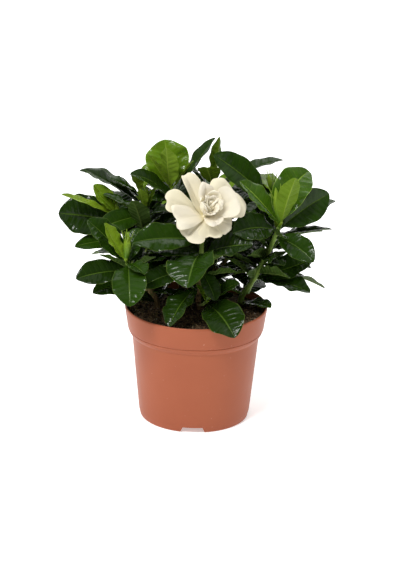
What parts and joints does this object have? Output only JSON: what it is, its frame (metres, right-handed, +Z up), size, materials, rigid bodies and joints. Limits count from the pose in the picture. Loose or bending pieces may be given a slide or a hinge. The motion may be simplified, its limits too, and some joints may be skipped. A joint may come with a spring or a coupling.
{
  "type": "potted gardenia",
  "caption": "Compact gardenia shrub with glossy dark leaves, lime shoot tips and an open ivory double bloom, growing in a terracotta-coloured plastic nursery pot.",
  "frame": {"origin": "bottom centre of the whole plant's bounding box, on the plane that the pot's foot stands on; the pot's own axis is at x 0.0 mm, y -20.4 mm, because the leaves reach further back than forwards", "axes": "+Z up; the open bloom and the plant's front face -Y, and +X is to the right seen from the front"},
  "size_m": [0.25, 0.201, 0.2577],
  "materials": {
    "terracotta_plastic": "satin terracotta-coloured plastic",
    "peat_soil": "crumbly dark peat",
    "gardenia_leaf": "glossy dark green leaf",
    "young_leaf": "soft glossy lime green leaf",
    "ivory_petal": "matt creamy white petal"
  },
  "bodies": {
    "root": {"pot": "terracotta_plastic", "soil": "peat_soil", "front_stem": "gardenia_leaf", "right_stem": "gardenia_leaf", "left_stem": "gardenia_leaf", "back_left_stem": "gardenia_leaf", "back_right_stem": "gardenia_leaf", "left_front_tip": "young_leaf", "left_outer_tip": "young_leaf", "left_upper_tip": "young_leaf", "small_front_tip": "young_leaf", "right_tip": "young_leaf", "right_back_tip": "young_leaf", "back_left_tip": "young_leaf", "back_left_inner_tip": "young_leaf", "back_left_outer_tip": "young_leaf", "back_right_tip": "young_leaf", "right_upper_tip": "young_leaf", "back_tip": "young_leaf", "bloom_calyx": "young_leaf", "bloom": "ivory_petal"}
  },
  "joints": []
}
